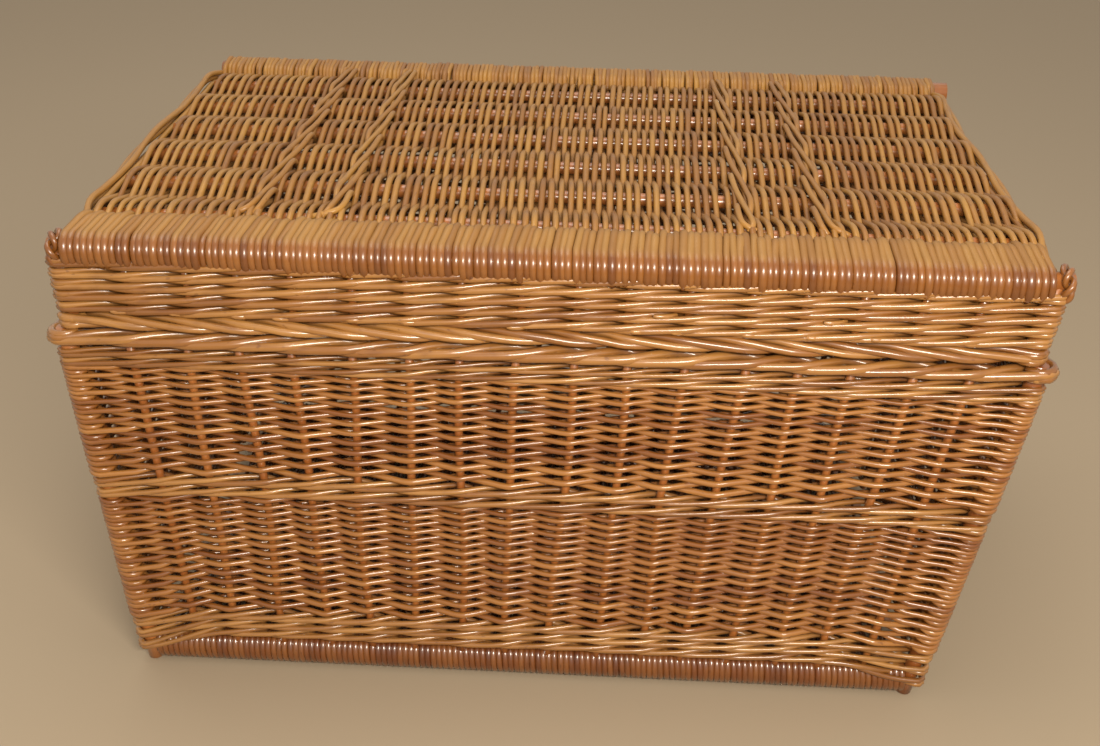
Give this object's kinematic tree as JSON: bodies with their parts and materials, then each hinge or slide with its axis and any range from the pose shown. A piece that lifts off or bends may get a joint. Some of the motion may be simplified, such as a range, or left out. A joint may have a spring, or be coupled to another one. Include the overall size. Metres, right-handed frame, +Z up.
{
  "type": "laundry basket",
  "caption": "Rectangular woven willow laundry basket with flared stake-and-strand walls, a framed base and a deep lid of square work that opens backwards on willow hinge loops.",
  "frame": {"origin": "on the floor under the middle of the basket", "axes": "+Z up, +X along the length of the basket to the right seen from the front, front towards -Y"},
  "size_m": [0.77, 0.4996, 0.43],
  "materials": {
    "wall_willow": "varnished buff willow weavers, golden brown, semi-gloss",
    "stick_willow": "round peeled willow rods, brown, semi-gloss",
    "wale_willow": "thicker varnished willow rods in three-rod wale, glossy",
    "base_willow": "varnished willow wrapped closely round the base sticks, reddish brown",
    "lid_willow": "weathered willow of the lid top, duller ochre brown",
    "tie_willow": "thin twisted willow rod"
  },
  "bodies": {
    "basket": {"base_outer_sticks": "stick_willow", "base_inner_sticks": "stick_willow", "base_weave": "base_willow", "corner_posts": "stick_willow", "front_stakes": "stick_willow", "rear_stakes": "stick_willow", "left_stakes": "stick_willow", "right_stakes": "stick_willow", "bottom_wale": "wale_willow", "lower_weave": "wall_willow", "middle_wale": "wale_willow", "upper_weave": "wall_willow", "top_wale": "wale_willow", "top_border": "wale_willow"},
    "lid": {"lid_border": "wale_willow", "lid_wale": "wale_willow", "lid_stakes": "stick_willow", "lid_corner_posts": "stick_willow", "lid_front_stick": "stick_willow", "lid_rear_stick": "stick_willow", "lid_inner_sticks": "stick_willow", "lid_weave": "lid_willow", "lid_cross_bands": "lid_willow", "lid_end_borders": "lid_willow", "lid_corner_knots": "tie_willow", "hinge_loops": "tie_willow"}
  },
  "joints": [
    {"name": "lid_hinge", "type": "hinge", "parent": "basket", "child": "lid", "pos_m": [0, 0.237, 0.335], "axis": [-1, 0, 0], "range_deg": [0, 105]}
  ]
}
